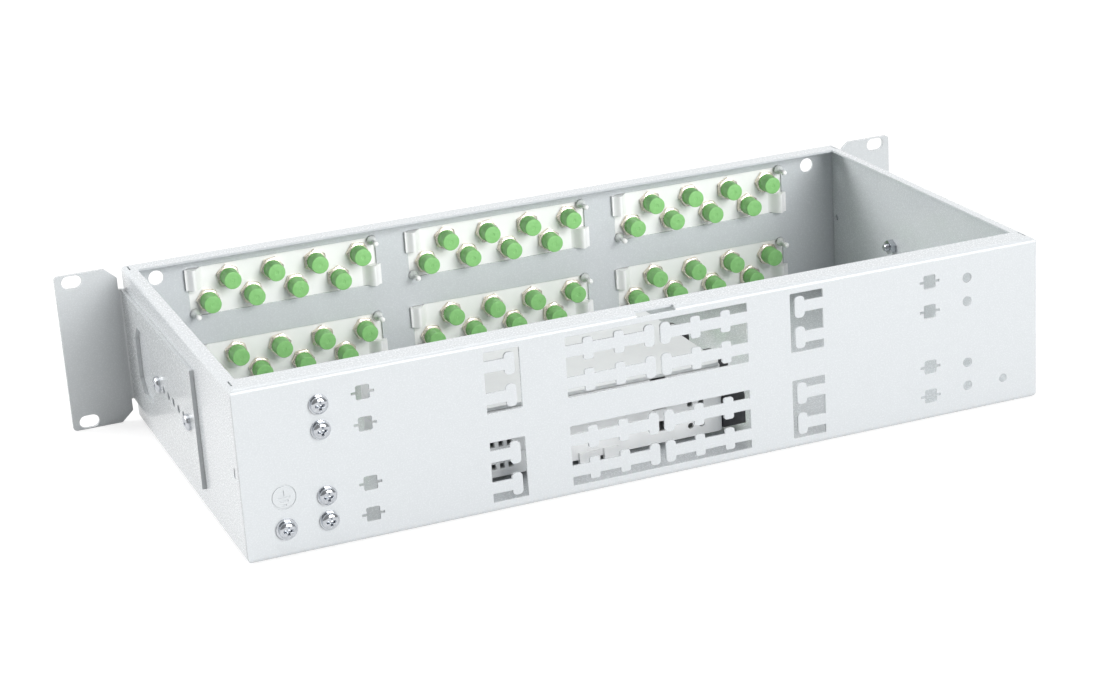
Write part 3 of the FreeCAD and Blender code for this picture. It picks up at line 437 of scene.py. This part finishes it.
def screw_skin(head_r, length):
    """Pan head with a domed top and cross recess, over a threaded shank. The seat is at height 0."""
    dome = SCREW_HEAD_T - SCREW_HEAD_SIDE

    def head(share):
        def ring(angle):
            r = head_r * share
            h = SCREW_HEAD_SIDE + dome * math.sqrt(max(0.0, 1 - share ** HEAD_DOME_POWER))
            return r, h - recess(r * math.cos(angle), r * math.sin(angle))
        return ring

    def thread(h):
        def ring(angle):
            turn = (h / THREAD_PITCH + angle / (2 * math.pi)) % 1.0
            taper = max(0.0, 1 - (h + length) / SCREW_TIP) * SCREW_TIP
            return SCREW_R - THREAD_DEPTH * abs(2 * turn - 1) - taper, h
        return ring

    rings = [head(math.sin(k / HEAD_RINGS * math.pi / 2)) for k in range(HEAD_RINGS + 1)]
    rings += [(head_r, 0), (SCREW_R, 0)]
    count = int(length / THREAD_PITCH * THREAD_STEPS)
    rings += [thread(-length * k / count) for k in range(1, count + 1)]
    return spun(rings + [(0, -length)], SCREW_SEGMENTS)


def make_screws(finishes):
    for node, axis in (("ear_screws", 0), ("clamp_screws", 1), ("earth_screw", 1), ("clamp_bolts", 2)):
        parts = []
        for points in solids(node):
            low, high = points.min(axis=0), points.max(axis=0)
            way = -1 if axis == 0 and low[0] < 0 else 1
            seat = (low + high) / 2
            seat[axis] = high[axis] - SCREW_HEAD_T if way > 0 else low[axis] + SCREW_HEAD_T
            head_r = (high - low)[(axis + 1) % 3] / 2
            skin = screw_skin(head_r, high[axis] - low[axis] - SCREW_HEAD_T)
            parts.append((skin, standing(way * np.eye(3)[axis], seat)))
        piece("threaded_" + node, parts, node, finishes)


# Studio and camera

def shown_to(tree):
    """One for rays from the camera, off gloss or through glass, and zero for those that light."""
    path = add(tree, "ShaderNodeLightPath").outputs
    gloss = add(tree, "ShaderNodeMath", {0: path["Is Camera Ray"], 1: path["Is Glossy Ray"]},
                operation="MAXIMUM").outputs[0]
    return add(tree, "ShaderNodeMath", {0: gloss, 1: path["Is Transmission Ray"]},
               operation="MAXIMUM").outputs[0]


def make_floor():
    half = FLOOR_HALF
    mesh = bpy.data.meshes.new("floor")
    corners = [(-half, -half), (half, -half), (half, half), (-half, half)]
    mesh.from_pydata([(x, y, -FLOOR_DROP) for x, y in corners], [], [(0, 1, 2, 3)])
    floor = bpy.data.objects.new("floor", mesh)
    bpy.context.scene.collection.objects.link(floor)
    made = bpy.data.materials.new("floor_white")
    made.use_nodes = True
    tree = made.node_tree
    tree.nodes.clear()
    bounce = add(tree, "ShaderNodeBsdfDiffuse", {"Color": (FLOOR_BOUNCE, FLOOR_BOUNCE, FLOOR_BOUNCE, 1.0)})
    shade = add(tree, "ShaderNodeBsdfDiffuse", {"Color": (FLOOR_SHADE, FLOOR_SHADE, FLOOR_SHADE, 1.0)})
    place = add(tree, "ShaderNodeTexCoord").outputs["Object"]
    away = add(tree, "ShaderNodeVectorMath", {0: place}, operation="LENGTH").outputs["Value"]
    strength = add(tree, "ShaderNodeMapRange",
                   {"Value": away, "From Min": FLOOR_NEAR, "From Max": FLOOR_FAR,
                    "To Min": FLOOR_GLOW, "To Max": FLOOR_GLOW_FAR}).outputs[0]
    glow = add(tree, "ShaderNodeEmission", {"Strength": strength})
    shown = add(tree, "ShaderNodeAddShader", {0: shade.outputs[0], 1: glow.outputs[0]})
    mix = add(tree, "ShaderNodeMixShader", {0: shown_to(tree), 1: bounce.outputs[0], 2: shown.outputs[0]})
    add(tree, "ShaderNodeOutputMaterial", {"Surface": mix.outputs[0]})
    mesh.materials.append(made)


def make_world():
    """White to the camera, and a bright backdrop behind the object in a dimmer room to gloss and light."""
    world = bpy.data.worlds.new("studio")
    bpy.context.scene.world = world
    world.use_nodes = True
    tree = world.node_tree
    tree.nodes.clear()
    white = (1.0, 1.0, 1.0, 1.0)
    direction = add(tree, "ShaderNodeTexCoord").outputs["Generated"]
    ahead = add(tree, "ShaderNodeSeparateXYZ", {0: direction}).outputs["Y"]
    backdrop = add(tree, "ShaderNodeMapRange",
                   {"Value": ahead, "From Min": BACKDROP_FULL, "From Max": BACKDROP_END,
                    "To Min": 1.0, "To Max": ROOM}).outputs[0]
    camera = add(tree, "ShaderNodeLightPath").outputs["Is Camera Ray"]
    plain = add(tree, "ShaderNodeMath", {0: camera, 1: backdrop}, operation="MAXIMUM").outputs[0]
    dimmed = add(tree, "ShaderNodeMath", {0: backdrop, 1: WORLD_FILL}, operation="MULTIPLY").outputs[0]
    shown = add(tree, "ShaderNodeBackground", {"Color": white, "Strength": plain})
    fill = add(tree, "ShaderNodeBackground", {"Color": white, "Strength": dimmed})
    mix = add(tree, "ShaderNodeMixShader", {0: shown_to(tree), 1: fill.outputs[0], 2: shown.outputs[0]})
    add(tree, "ShaderNodeOutputWorld", {"Surface": mix.outputs[0]})


def make_lamps():
    for name, facts in LAMPS.items():
        lamp = bpy.data.lights.new(name, "AREA")
        lamp.shape = "SQUARE"
        lamp.size = facts["size"]
        lamp.energy = facts["watts"]
        held = bpy.data.objects.new(name, lamp)
        held.location = facts["at"]
        held.rotation_mode = "QUATERNION"
        held.rotation_quaternion = (CAMERA_TARGET - held.location).to_track_quat("-Z", "Y")
        bpy.context.scene.collection.objects.link(held)


def make_camera():
    a, e, r = (math.radians(v) for v in (CAMERA_AZIMUTH, CAMERA_ELEVATION, CAMERA_ROLL))
    back = Vector((math.sin(a) * math.cos(e), -math.cos(a) * math.cos(e), math.sin(e)))
    level = Vector((math.cos(a), math.sin(a), 0.0))
    upright = back.cross(level)
    right = level * math.cos(r) + upright * math.sin(r)
    up = upright * math.cos(r) - level * math.sin(r)
    lens = bpy.data.cameras.new("camera")
    lens.sensor_width = SENSOR_MM
    lens.lens = FOCAL_PIXELS / PHOTO_WIDTH * SENSOR_MM
    camera = bpy.data.objects.new("camera", lens)
    turn = Matrix((right, up, back)).transposed().to_4x4()
    camera.matrix_world = Matrix.Translation(CAMERA_TARGET + back * CAMERA_DISTANCE) @ turn
    bpy.context.scene.collection.objects.link(camera)
    bpy.context.scene.camera = camera


finishes = make_finishes()
dress_nodes(finishes)
make_caps(finishes)
make_nuts(finishes)
make_screws(finishes)
make_floor()
make_world()
make_lamps()
make_camera()
bpy.context.scene.view_settings.view_transform = "Standard"
